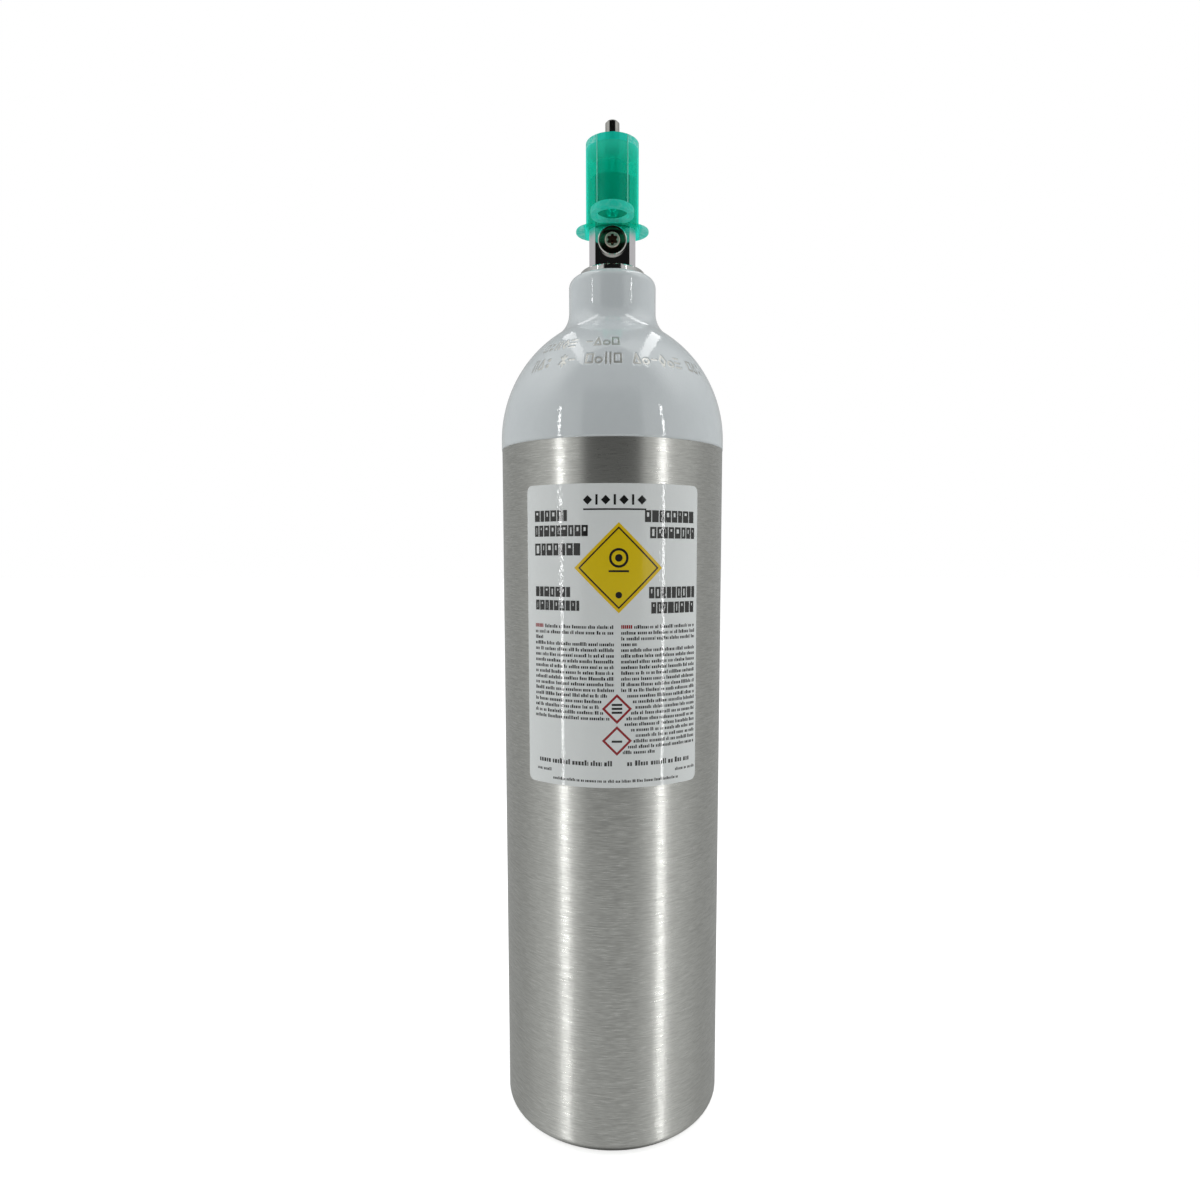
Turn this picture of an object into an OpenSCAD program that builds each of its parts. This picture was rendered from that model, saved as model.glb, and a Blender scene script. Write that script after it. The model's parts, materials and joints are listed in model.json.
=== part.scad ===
// Small medical oxygen cylinder: aluminium shell, pin-index post valve and tear-off valve cover.
// Origin at the centre of the base, +Z up. The valve's safety plug and the pull ring face -Y,
// the gas outlet faces +Y.

/* [Shell] */
// Outside diameter of the barrel
barrel_d = 111.3; // [105:0.1:120]
// Height of the shell, from the base to the top of the neck
shell_h = 424; // [400:1:640]
// Wall thickness of the barrel
wall_t = 5; // [4:0.5:6]
// Thickness of the base
base_t = 9; // [8:0.5:12]
// Outside diameter of the neck
neck_d = 43; // [41:0.5:46]
// Height of the shoulder and neck together
shoulder_h = 80; // [78:1:83]
// Radius of the shoulder's curve in section
shoulder_r = 62; // [60:1:64]
// Radius of the hollow between shoulder and neck
neck_fillet_r = 15; // [12:1:16]
// Radius around the top edge of the neck
neck_edge_r = 4.2; // [3:0.1:5]
// Radius around the edge of the base
base_edge_r = 5; // [3:0.5:6]

/* [Label] */
// Half of the angle that the label wraps
label_half_angle = 45.3; // [30:0.1:60]
// Height of the label's lower edge
label_z = 180.5; // [100:0.5:181]
// Height of the label
label_h = 138.5; // [100:0.5:138.5]
// Radius of the label's corners
label_corner_r = 3; // [1:0.5:6]

/* [Valve] */
// Diameter of the valve's threaded shank
shank_d = 19; // [18:0.1:19]
// Diameter of the round flange that sits on the neck
flange_d = 32; // [30:0.5:36]
// Thickness of the flange
flange_t = 3.3; // [2:0.1:3.6]
// Width of the post, side to side
post_w = 22.8; // [22.4:0.1:22.8]
// Depth of the post, front face to outlet face
post_depth = 17.6; // [17.2:0.1:17.6]
// Width of the flat front and outlet faces
post_face_w = 16.7; // [16:0.1:16.8]
// Height of the post's top above the neck
post_top = 48.5; // [48:0.5:49]
// Height of the gas outlet above the neck
outlet_h = 30; // [29.8:0.1:30.2]
// Height of the safety plug above the neck
safety_h = 16; // [15:0.5:16]
// Height of the stem's top above the neck
stem_top = 75.6; // [73:0.2:77]
// Rise of the seat for one turn of the stem
thread_pitch = 1; // [0.8:0.1:1]

/* [Cover] */
// Outside diameter of the cover's tube
cover_d = 26.2; // [26.2:0.1:27]
// Wall thickness of the cover
cover_wall = 0.8; // [0.6:0.05:0.8]
// Height of the cover's lower edge above the neck
cover_bottom = 22.7; // [22:0.1:23]
// Height of the cover's top above the neck
cover_top = 64.8; // [64:0.1:67]
// Width over the two wings of the cover's lower edge
cover_wing_w = 36.2; // [34:0.2:38]
// Outside diameter of the pull ring
ring_d = 20.6; // [20:0.1:20.8]
// Diameter of the pull ring's hole
ring_hole_d = 15.2; // [14:0.1:16]

/* [Hidden] */
$fn = 96;
eps = 0.01;          // overlap of the pieces that make up one solid
past = 1;            // how far a cutter runs past the face it opens

// Shell
barrel_r = barrel_d / 2;
neck_r = neck_d / 2;
shoulder_z = shell_h - shoulder_h;
shoulder_cx = barrel_r - shoulder_r;
fillet_cx = neck_r + neck_fillet_r;
fillet_cz = shoulder_z + sqrt(pow(shoulder_r + neck_fillet_r, 2) - pow(fillet_cx - shoulder_cx, 2));
tangent = shoulder_r / (shoulder_r + neck_fillet_r);
tangent_x = shoulder_cx + tangent * (fillet_cx - shoulder_cx);
tangent_z = shoulder_z + tangent * (fillet_cz - shoulder_z);
cavity_r = barrel_r - wall_t;
cavity_edge_r = 12;
shoulder_wall_t = 8; // the wall is thicker at the shoulder
cavity_shoulder_r = shoulder_r - shoulder_wall_t;
shank_gap = 0.05;
bore_r = shank_d / 2 + shank_gap;
o_ring_seat_r = 12.8;
o_ring_seat_t = 2.6;
o_ring_play = 0.1;
o_ring_round = 0.9;
base_recess_r = 40;
base_recess_t = 1.2;

// Label
label_gap = 0.02;    // adhesive
label_t = 0.15;
label_chord = 2 * barrel_r * sin(label_half_angle);

// Valve body. Heights are above the neck.
shank_l = 26;
shank_edge = 1.2;
flange_edge = 0.5;
post_side_w = 8.3;
turn_drop = 1.6;     // fall of the turned top edge
turn_r = 8.2;        // where the turned edge starts
turn_corner_r = 12.2;
inlet_r = 2.5;
tube_seat_l = 10;
tube_r = 3.2;
tube_wall = 0.7;
tube_l = 44;
seat_floor = outlet_h - 3;
seat_lip_t = 0.8;
seat_lip_r = 3.2;
seat_hole_r = 2;
seat_hole_l = 2.8;
chamber_r = 5.5;
gland_bottom = post_top - 6.2;
gland_bore_r = 6.6;
outlet_r = 3.5;      // hole in the outlet face
outlet_l = 2.7;
outlet_way_r = 1.5;
pin_r = 2.375;       // pin-index holes
pin_l = 5.6;
pin_circle_r = 14.29;
pin_angle = 18;
safety_bore_r = 4.55;
safety_bore_l = 4.8;
safety_way_r = 1.2;
dimple_r = 3;
dimple_l = 1.8;
face_x = post_face_w / 2;
face_y = post_depth / 2;
side_x = post_w / 2;
side_y = post_side_w / 2;

// Safety plug, from the front face inwards
gasket_t = 0.6;
gasket_hole_r = 2;
disc_t = 0.25;
disc_play = 0.1;
plug_shank_r = 4.5;
plug_head_r = 7.05;
plug_head_t = 2.2;
plug_head_edge = 0.5;
plug_dish_r = 6.1;
plug_dish_t = 1.1;
plug_boss_r = 3.7;
plug_boss_edge = 0.3;
lobe_r = 0.75;
lobe_circle_r = 2;
socket_l = 2.4;
vent_r = 0.9;

// Gland and stem
running = 0.05;
stem_r = 3.95;
stem_end_r = 3.5;
stem_flat = 3.2;
stem_flat_z = post_top + 12;
stem_step_z = post_top + 9;
stem_edge = 0.9;
hex_af = 14.5;
hex_top = post_top + 8.5;
hex_edge = 1;
collar_r = 5.2;
collar_t = 2.1;
washer_t = 0.9;
washer_top = gland_bottom - running;
washer_bottom = washer_top - washer_t;
collar_top = washer_bottom - running;
collar_bottom = collar_top - collar_t;
groove_r = 2.85;
groove_z = post_top + 3.2;
ring_t = 1.4;
backup_t = 0.8;
groove_t = ring_t + backup_t + 0.2;
ring_play = 0.02;
ring_round = 0.4;

// Seat
lift_turns = 1.5;
lift = thread_pitch * lift_turns;
insert_r = 3.5;
insert_t = 2.2;
insert_bottom = seat_floor + seat_lip_t;
plug_bottom = insert_bottom + 1;
plug_top = plug_bottom + 7.2;
seat_plug_r = chamber_r - running;
tang_t = 2.4;
tang_w = 8;
slot_play = 0.2;
slot_floor = plug_top - 4.2;
tang_bottom = slot_floor + lift + slot_play;

// Cover
cover_r = cover_d / 2;
cover_bore_r = cover_r - cover_wall;
wing_r = 10;
wing_x = cover_wing_w / 2 - wing_r;
wing_t = 1.6;
wing_edge = 0.6;
cover_roof_t = 3.3;
stem_hole_r = 4.6;
strip_half_w = 7.15;
slit = 0.1;
strip_roof_gap = 0.15;
strip_top = cover_top - cover_roof_t - strip_roof_gap;
tear_groove = 0.7;
ring_y = -21.4;
ring_front_t = 3.3;    // the pull ring is thicker at the fingertip
ring_back_t = 1.7;

module ring(outer_r, inner_r, z0, z1) {
    translate([0, 0, z0]) difference() {
        cylinder(r = outer_r, h = z1 - z0);
        translate([0, 0, -past]) cylinder(r = inner_r, h = z1 - z0 + 2 * past);
    }
}

// A ring of rubber or plastic with rounded edges, squeezed into its groove
module soft_ring(inner_r, outer_r, z0, z1, edge) {
    rotate_extrude() translate([inner_r, z0]) rounded(outer_r - inner_r, z1 - z0, edge);
}

// A rectangle with rounded corners, its lower left corner at the origin
module rounded(w, h, r) {
    translate([r, 0]) square([w - 2 * r, h]);
    translate([0, r]) square([w, h - 2 * r]);
    for (x = [r, w - r], y = [r, h - r]) translate([x, y]) circle(r);
}

// A hole that opens in the front (-Y) face of the post
module front_hole(r, height, depth) {
    translate([0, -face_y + depth, height]) rotate([90, 0, 0]) cylinder(r = r, h = depth + past);
}

// A hole that opens in the outlet (+Y) face of the post
module back_hole(r, x, height, depth) {
    translate([x, face_y - depth, height]) rotate([-90, 0, 0]) cylinder(r = r, h = depth + past);
}

module shell_outline() {
    // base and barrel
    square([barrel_r - base_edge_r, base_edge_r]);
    translate([barrel_r - base_edge_r, base_edge_r]) circle(base_edge_r);
    translate([0, base_edge_r]) square([barrel_r, shoulder_z - base_edge_r]);
    // shoulder
    intersection() {
        translate([shoulder_cx, shoulder_z]) circle(shoulder_r);
        translate([0, shoulder_z - eps]) square([barrel_r, tangent_z - shoulder_z + 2 * eps]);
    }
    // hollow between shoulder and neck
    difference() {
        polygon([[0, tangent_z], [tangent_x, tangent_z], [fillet_cx, fillet_cz], [0, fillet_cz]]);
        translate([fillet_cx, fillet_cz]) circle(neck_fillet_r);
    }
    // neck
    translate([0, fillet_cz - eps]) square([neck_r, shell_h - neck_edge_r - fillet_cz + 2 * eps]);
    translate([0, shell_h - neck_edge_r]) square([neck_r - neck_edge_r, neck_edge_r]);
    translate([neck_r - neck_edge_r, shell_h - neck_edge_r]) circle(neck_edge_r);
}

module cavity_outline() {
    translate([0, base_t]) square([cavity_r - cavity_edge_r, cavity_edge_r + eps]);
    translate([cavity_r - cavity_edge_r, base_t + cavity_edge_r]) circle(cavity_edge_r);
    translate([0, base_t + cavity_edge_r]) square([cavity_r, shoulder_z - base_t - cavity_edge_r]);
    intersection() {
        translate([cavity_r - cavity_shoulder_r, shoulder_z]) circle(cavity_shoulder_r);
        translate([0, shoulder_z - eps]) square([cavity_r, cavity_shoulder_r]);
    }
    translate([0, shoulder_z]) square([bore_r, shoulder_h + past]);
    translate([0, shell_h - o_ring_seat_t]) square([o_ring_seat_r, o_ring_seat_t + past]);
}

module cylinder_shell() {
    color([0.72, 0.73, 0.73]) difference() {
        rotate_extrude() difference() {
            shell_outline();
            cavity_outline();
        }
        translate([0, 0, -eps]) cylinder(r1 = base_recess_r, r2 = base_recess_r - base_recess_t,
                                         h = base_recess_t + eps);
    }
}

module product_label() {
    color([0.85, 0.87, 0.88]) intersection() {
        ring(barrel_r + label_gap + label_t, barrel_r + label_gap, label_z - past,
             label_z + label_h + past);
        translate([-label_chord / 2, 0, label_z]) rotate([90, 0, 0])
            linear_extrude(barrel_r + past) rounded(label_chord, label_h, label_corner_r);
    }
}

module post_section() {
    right = [[face_x, -face_y], [side_x, -side_y], [side_x, side_y], [face_x, face_y]];
    polygon([each right, each -right]);
}

module post() {
    intersection() {
        linear_extrude(post_top) post_section();
        rotate_extrude() polygon([[0, 0], [turn_corner_r + past, 0],
                                  [turn_corner_r + past, post_top - turn_drop],
                                  [turn_corner_r, post_top - turn_drop],
                                  [turn_r, post_top], [0, post_top]]);
    }
}

module valve_body() {
    color([0.62, 0.63, 0.64]) translate([0, 0, shell_h]) difference() {
        union() {
            rotate_extrude() polygon([[0, -shank_l], [shank_d / 2 - shank_edge, -shank_l],
                                      [shank_d / 2, shank_edge - shank_l], [shank_d / 2, 0],
                                      [flange_d / 2, 0], [flange_d / 2, flange_t - flange_edge],
                                      [flange_d / 2 - flange_edge, flange_t], [0, flange_t]]);
            post();
        }
        // gas way from the cylinder up to the seat
        translate([0, 0, -shank_l - past])
            cylinder(r = inlet_r, h = shank_l + past + seat_floor - seat_hole_l);
        translate([0, 0, -shank_l - past]) cylinder(r = tube_r, h = tube_seat_l + past);
        translate([0, 0, seat_floor - seat_hole_l - eps]) cylinder(r = seat_hole_r, h = 2 * seat_hole_l);
        // chamber round the raised seat, and the gland's bore above it
        difference() {
            translate([0, 0, seat_floor]) cylinder(r = chamber_r, h = post_top - seat_floor + past);
            translate([0, 0, seat_floor - past]) cylinder(r = seat_lip_r, h = past + seat_lip_t);
        }
        translate([0, 0, gland_bottom]) cylinder(r = gland_bore_r, h = post_top - gland_bottom + past);
        // gas outlet and its pin-index holes
        back_hole(outlet_r, 0, outlet_h, outlet_l);
        back_hole(outlet_way_r, 0, outlet_h, face_y - seat_lip_r - past);
        for (s = [-1, 1])
            back_hole(pin_r, s * pin_circle_r * sin(pin_angle),
                      outlet_h - pin_circle_r * cos(pin_angle), pin_l);
        // safety plug's bore, and the dimple for a yoke screw
        front_hole(safety_bore_r, safety_h, safety_bore_l);
        front_hole(safety_way_r, safety_h, face_y);
        translate([0, -face_y - eps, outlet_h]) rotate([-90, 0, 0])
            cylinder(r1 = dimple_r, r2 = 0, h = dimple_l);
    }
}

module neck_o_ring() {
    color([0.12, 0.12, 0.12])
        soft_ring(shank_d / 2 + o_ring_play, o_ring_seat_r - o_ring_play, shell_h - o_ring_seat_t,
                  shell_h - o_ring_play, o_ring_round);
}

module debris_tube() {
    top = shell_h - shank_l + tube_seat_l;
    color([0.78, 0.62, 0.32]) ring(tube_r, tube_r - tube_wall, top - tube_l, top);
}

module socket_outline() {
    circle(lobe_circle_r);
    for (a = [30:60:330]) rotate(a) translate([lobe_circle_r, 0]) circle(lobe_r);
}

// The plug is drawn with its head up, then laid on its side
module safety_plug() {
    shank_l = safety_bore_l - gasket_t - disc_t;
    color([0.5, 0.5, 0.48]) translate([0, -face_y, shell_h + safety_h]) rotate([90, 0, 0]) difference() {
        rotate_extrude() polygon([[0, -shank_l], [plug_shank_r, -shank_l], [plug_shank_r, 0],
                                  [plug_head_r, 0], [plug_head_r, plug_head_t - plug_head_edge],
                                  [plug_head_r - plug_head_edge, plug_head_t],
                                  [plug_dish_r + plug_dish_t / 2, plug_head_t],
                                  [plug_dish_r, plug_head_t - plug_dish_t],
                                  [plug_boss_r, plug_head_t - plug_dish_t],
                                  [plug_boss_r, plug_head_t - plug_boss_edge],
                                  [plug_boss_r - plug_boss_edge, plug_head_t], [0, plug_head_t]]);
        translate([0, 0, plug_head_t - socket_l]) linear_extrude(socket_l + past) socket_outline();
        translate([0, 0, -shank_l - past]) cylinder(r = vent_r, h = shank_l + 2 * past);
    }
}

module burst_disc() {
    y = safety_bore_l - gasket_t - face_y;
    color([0.8, 0.6, 0.35]) translate([0, y, shell_h + safety_h]) rotate([90, 0, 0])
        cylinder(r = plug_shank_r - disc_play, h = disc_t);
}

module safety_gasket() {
    y = safety_bore_l - face_y;
    color([0.75, 0.45, 0.3]) translate([0, y, shell_h + safety_h]) rotate([90, 0, 0])
        ring(plug_shank_r - disc_play, gasket_hole_r, 0, gasket_t);
}

module gland_nut() {
    hex_r = hex_af / 2 / cos(30);
    color([0.66, 0.66, 0.64]) translate([0, 0, shell_h]) difference() {
        union() {
            translate([0, 0, gland_bottom]) cylinder(r = gland_bore_r - running,
                                                     h = post_top - gland_bottom + eps);
            intersection() {
                translate([0, 0, post_top]) rotate(30) cylinder(r = hex_r, h = hex_top - post_top, $fn = 6);
                rotate_extrude() polygon([[0, post_top], [hex_r + past, post_top],
                                          [hex_r + past, hex_top - 2 * hex_edge],
                                          [hex_r - hex_edge, hex_top], [0, hex_top]]);
            }
        }
        translate([0, 0, gland_bottom - past]) cylinder(r = stem_r + running,
                                                        h = hex_top - gland_bottom + 2 * past);
    }
}

module thrust_washer() {
    color([0.92, 0.92, 0.88])
        ring(seat_plug_r - 2 * running, stem_r + 2 * running, shell_h + washer_bottom,
             shell_h + washer_top);
}

module valve_stem() {
    color([0.45, 0.45, 0.44]) translate([0, 0, shell_h]) difference() {
        union() {
            rotate_extrude() polygon([[0, collar_bottom], [collar_r, collar_bottom], [collar_r, collar_top],
                                      [stem_r, collar_top], [stem_r, stem_step_z],
                                      [stem_end_r, stem_step_z + stem_r - stem_end_r],
                                      [stem_end_r, stem_top - stem_edge],
                                      [stem_end_r - stem_edge, stem_top], [0, stem_top]]);
            translate([-tang_w / 2, -tang_t / 2, tang_bottom])
                cube([tang_w, tang_t, collar_bottom - tang_bottom + eps]);
        }
        ring(stem_r + past, groove_r, groove_z, groove_z + groove_t);
        for (s = [0, 180]) rotate(s)
            translate([-stem_r - past, stem_flat, stem_flat_z])
                cube([2 * (stem_r + past), past, stem_top - stem_flat_z + past]);
    }
}

module stem_o_ring() {
    color([0.1, 0.1, 0.1])
        soft_ring(groove_r + ring_play, stem_r + ring_play, shell_h + groove_z + running,
                  shell_h + groove_z + ring_t, ring_round);
}

module stem_backup_ring() {
    z = shell_h + groove_z + ring_t + running;
    color([0.95, 0.95, 0.93]) ring(stem_r + ring_play, groove_r + ring_play, z, z + backup_t);
}

module seat_plug() {
    color([0.75, 0.6, 0.3]) translate([0, 0, shell_h]) difference() {
        translate([0, 0, plug_bottom]) cylinder(r = seat_plug_r, h = plug_top - plug_bottom);
        translate([0, 0, plug_bottom - past])
            cylinder(r = insert_r + running, h = insert_bottom + insert_t - plug_bottom + past);
        translate([-(tang_w + 2 * slot_play) / 2, -(tang_t + slot_play) / 2, slot_floor])
            cube([tang_w + 2 * slot_play, tang_t + slot_play, plug_top - slot_floor + past]);
    }
}

module seat_insert() {
    color([0.9, 0.88, 0.8]) translate([0, 0, shell_h + insert_bottom]) cylinder(r = insert_r, h = insert_t);
}

// The cover before its tear strip is parted from it
module cover_blank() {
    ring(cover_r, cover_bore_r, cover_bottom, cover_top - cover_roof_t + eps);
    difference() {
        for (s = [-1, 1]) translate([s * wing_x, 0, cover_bottom]) rotate_extrude() {
            square([wing_r / 2 + eps, wing_t]);
            translate([wing_r / 2 - wing_edge, 0]) rounded(wing_r / 2 + wing_edge, wing_t, wing_edge);
        }
        translate([0, 0, cover_bottom - past]) cylinder(r = cover_r - eps, h = wing_t + 2 * past);
    }
}

// The space of the tear strip, widened by extra on each side
module strip_space(extra) {
    w = strip_half_w + extra;
    translate([-w, -cover_d, cover_bottom - past])
        cube([2 * w, cover_d, strip_top + extra - cover_bottom + past]);
}

module protective_cover() {
    color([0, 0.66, 0.55]) translate([0, 0, shell_h]) difference() {
        union() {
            cover_blank();
            translate([0, 0, cover_top - cover_roof_t]) cylinder(r = cover_r, h = cover_roof_t);
        }
        strip_space(slit);
        translate([0, 0, cover_bottom]) cylinder(r = stem_hole_r, h = cover_top);
        for (s = [-1, 1]) translate([s * strip_half_w - slit, -cover_r, strip_top])
            cube([2 * slit, 2 * tear_groove, cover_top]);
    }
}

module pull_ring() {
    length = ring_d + past;
    tilt = atan((ring_front_t - ring_back_t) / ring_d);
    difference() {
        translate([0, ring_y, 0])
            ring(ring_d / 2, ring_hole_d / 2, cover_bottom, cover_bottom + ring_front_t + past);
        // top face, falling towards the cover
        translate([0, ring_y - ring_d / 2, cover_bottom + ring_front_t]) rotate([-tilt, 0, 0])
            translate([-length / 2, -past, 0]) cube([length, length + past, 2 * ring_front_t]);
        cylinder(r = cover_r - eps, h = cover_top);
        difference() {
            cylinder(r = cover_r + 2 * slit, h = cover_top);
            translate([-strip_half_w, -cover_d, 0]) cube([2 * strip_half_w, cover_d, cover_top]);
        }
    }
}

module tear_strip() {
    color([0, 0.7, 0.6]) translate([0, 0, shell_h]) {
        intersection() {
            cover_blank();
            strip_space(0);
        }
        pull_ring();
    }
}

cylinder_shell();
product_label();
valve_body();
neck_o_ring();
debris_tube();
safety_plug();
burst_disc();
safety_gasket();
gland_nut();
thrust_washer();
valve_stem();
stem_o_ring();
stem_backup_ring();
seat_plug();
seat_insert();
protective_cover();
tear_strip();
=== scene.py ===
"""Looks for a small medical oxygen cylinder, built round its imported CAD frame.

Lengths are in metres, except in tables that say mm. The label is on the front, towards -Y, and
the cylinder stands on Z = 0.
"""
import json
import math
import random

import bmesh
import bpy
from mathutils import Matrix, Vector


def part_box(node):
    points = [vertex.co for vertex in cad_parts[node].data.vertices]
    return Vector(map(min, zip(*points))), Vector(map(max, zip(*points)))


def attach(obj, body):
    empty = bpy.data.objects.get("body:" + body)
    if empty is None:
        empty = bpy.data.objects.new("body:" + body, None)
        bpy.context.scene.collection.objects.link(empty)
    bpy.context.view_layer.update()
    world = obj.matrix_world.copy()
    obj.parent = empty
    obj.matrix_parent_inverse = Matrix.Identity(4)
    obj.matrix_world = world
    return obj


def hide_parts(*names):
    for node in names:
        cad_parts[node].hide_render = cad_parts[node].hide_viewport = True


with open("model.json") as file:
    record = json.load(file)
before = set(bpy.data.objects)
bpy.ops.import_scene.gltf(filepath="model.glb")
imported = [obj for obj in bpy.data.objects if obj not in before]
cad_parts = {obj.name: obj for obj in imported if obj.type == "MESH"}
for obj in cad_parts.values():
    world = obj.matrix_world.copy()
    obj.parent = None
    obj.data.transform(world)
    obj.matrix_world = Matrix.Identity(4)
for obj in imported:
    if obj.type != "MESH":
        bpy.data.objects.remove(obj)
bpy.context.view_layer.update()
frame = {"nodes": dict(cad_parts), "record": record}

MM = 0.001
scene = bpy.context.scene
scene.view_settings.view_transform = "Standard"

# Sizes that come from the frame
SHELL_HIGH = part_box("cylinder_shell")[1]
LABEL_LOW, LABEL_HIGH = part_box("product_label")
COVER_LOW, COVER_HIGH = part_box("protective_cover")
PLUG_LOW, PLUG_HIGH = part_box("safety_plug")
BARREL_R = SHELL_HIGH.x
NECK_TOP = SHELL_HIGH.z
LABEL_R = -LABEL_LOW.y
LABEL_HALF_ANGLE = math.asin(LABEL_HIGH.x / LABEL_R)
COVER_R = COVER_HIGH.y
PLUG_Z = (PLUG_LOW.z + PLUG_HIGH.z) / 2
FLANGE_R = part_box("valve_body")[1].x

# Where the finish changes on the valve; the first two are just past the edges in part.scad
FLANGE_TOP = NECK_TOP + 3.35 * MM
POST_X = 11.45 * MM
POST_FACE_X = 8.4 * MM    # beyond it lie the post's sloping faces
PLUG_BOSS_R = 3.70 * MM
PLUG_DISH_R = 6.10 * MM
EDGE = 0.1 * MM           # width of the blend between two finishes

# The raised lines beside the tear strip
BEAD_X = 7.4 * MM
BEAD_R = 0.28 * MM

# The shell's profile above the barrel, the same as in part.scad
SHOULDER_H = 80 * MM
SHOULDER_R = 62 * MM
FILLET_R = 15 * MM
NECK_R = 21.5 * MM
NECK_EDGE_R = 4.2 * MM


# ---------------------------------------------------------------- camera

# Fitted to the outline in the photo
LENS_MM = 24.186
SENSOR_MM = 36
CAMERA_SHIFT = (-0.0103, 0.0283)
CAMERA_PLACE = (0, -0.4184, 0.285)
CAMERA_DROP = 5.25        # degrees it looks down


def add_camera():
    data = bpy.data.cameras.new("camera")
    data.lens = LENS_MM
    data.sensor_width = SENSOR_MM
    data.shift_x, data.shift_y = CAMERA_SHIFT
    camera = bpy.data.objects.new("camera", data)
    camera.location = CAMERA_PLACE
    camera.rotation_euler = (math.radians(90 - CAMERA_DROP), 0, 0)
    scene.collection.objects.link(camera)
    scene.camera = camera


# ---------------------------------------------------------------- node helpers

class Nodes:
    """Short calls for building one node tree."""

    def __init__(self, tree):
        self.tree = tree

    def add(self, kind, inputs=None, **settings):
        node = self.tree.nodes.new(kind)
        for key, value in settings.items():
            setattr(node, key, value)
        for key, value in (inputs or {}).items():
            self.put(node.inputs[key], value)
        return node

    def put(self, socket, value):
        if isinstance(value, bpy.types.NodeSocket):
            self.tree.links.new(value, socket)
        else:
            socket.default_value = value

    def wire(self, shader, **inputs):
        """Set or link the shader's inputs, named with _ for each space"""
        for key, value in inputs.items():
            self.put(shader.inputs[key.replace("_", " ")], value)

    def math(self, operation, *values):
        node = self.add("ShaderNodeMath", operation=operation)
        for i, value in enumerate(values):
            self.put(node.inputs[i], value)
        return node.outputs[0]

    def plus(self, a, b):
        return self.math("ADD", a, b)

    def times(self, a, b):
        return self.math("MULTIPLY", a, b)

    def most(self, a, b):
        return self.math("MAXIMUM", a, b)

    def ramp(self, value, low, high, to_low=0.0, to_high=1.0, smooth=True):
        """value taken from low..high to to_low..to_high, and held there beyond"""
        node = self.add("ShaderNodeMapRange")
        node.interpolation_type = "SMOOTHSTEP" if smooth else "LINEAR"
        for i, v in enumerate((value, low, high, to_low, to_high)):
            self.put(node.inputs[i], v)
        return node.outputs[0]

    def mix_value(self, factor, a, b):
        node = self.add("ShaderNodeMix", {0: factor, 2: a, 3: b}, data_type="FLOAT")
        return node.outputs[0]

    def mix(self, factor, a, b):
        """Two colours mixed"""
        node = self.add("ShaderNodeMix", {0: factor, 6: a, 7: b}, data_type="RGBA")
        return node.outputs[2]

    def place(self, scale=(1, 1, 1)):
        """The piece's own coordinates, in metres, times scale (x, y, z)"""
        coords = self.add("ShaderNodeTexCoord").outputs["Object"]
        return self.add("ShaderNodeMapping", {"Vector": coords, "Scale": scale}).outputs[0]

    def split(self, vector):
        """The x, y and z of a vector"""
        return self.add("ShaderNodeSeparateXYZ", {0: vector}).outputs

    def noise(self, scale, detail=2.0, roughness=0.5, distortion=0.0):
        """Noise with scale features to the metre: one number, or (x, y, z) where they differ"""
        scale = scale if isinstance(scale, tuple) else (scale, scale, scale)
        return self.add("ShaderNodeTexNoise", {
            "Vector": self.place(scale), "Scale": 1.0, "Detail": detail,
            "Roughness": roughness, "Distortion": distortion}).outputs[0]

    def bump(self, height, distance, strength=1.0, normal=None):
        node = self.add("ShaderNodeBump", {
            "Height": height, "Distance": distance, "Strength": strength})
        if normal is not None:
            self.put(node.inputs["Normal"], normal)
        return node.outputs[0]

    def mix_shaders(self, factor, a, b):
        return self.add("ShaderNodeMixShader", {0: factor, 1: a, 2: b}).outputs[0]

    def lit_through(self, shader, colour, share):
        """The shader, with a share of the light scattered through from the far side"""
        glow = self.add("ShaderNodeBsdfTranslucent", {"Color": colour}).outputs[0]
        return self.mix_shaders(share, shader.outputs[0], glow)

    def finish(self, surface):
        self.put(self.tree.nodes["Material Output"].inputs["Surface"], surface)

    def seen_directly(self):
        """1 where the camera sees a surface, 0 where it is only mirrored or lights something"""
        return self.add("ShaderNodeLightPath").outputs["Is Camera Ray"]


def rgb(r, g, b):
    return (r, g, b, 1.0)


def new_material(name, **inputs):
    """A Principled material, and the helper and shader node to finish it with"""
    material = bpy.data.materials.new(name)
    material.use_nodes = True
    n = Nodes(material.node_tree)
    shader = material.node_tree.nodes["Principled BSDF"]
    n.wire(shader, **inputs)
    return material, n, shader


# ---------------------------------------------------------------- materials

def brushed_aluminium():
    """Barrel metal, brushed round the cylinder in fine lines; its gloss spreads up and down"""
    material, n, shader = new_material(
        "brushed_aluminium", Metallic=1.0, Anisotropic=0.70, Anisotropic_Rotation=0.25)
    fine = n.noise((240, 240, 2800))
    lines = n.noise((90, 90, 1600))
    cloud = n.noise((28, 28, 22), detail=3)
    grain = n.plus(n.times(fine, 0.6), n.times(lines, 0.4))
    brushed = n.mix(n.ramp(grain, 0.3, 0.7), rgb(0.49, 0.49, 0.468), rgb(0.68, 0.68, 0.652))
    dulled = rgb(0.50, 0.495, 0.472)
    n.wire(shader,
           Base_Color=n.mix(n.ramp(cloud, 0.35, 0.7, 0.0, 0.12), brushed, dulled),
           Roughness=n.ramp(grain, 0.34, 0.66, 0.36, 0.27),
           Tangent=n.add("ShaderNodeTangent", direction_type="RADIAL", axis="Z").outputs[0],
           Normal=n.bump(fine, 0.025 * MM))
    return material


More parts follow.
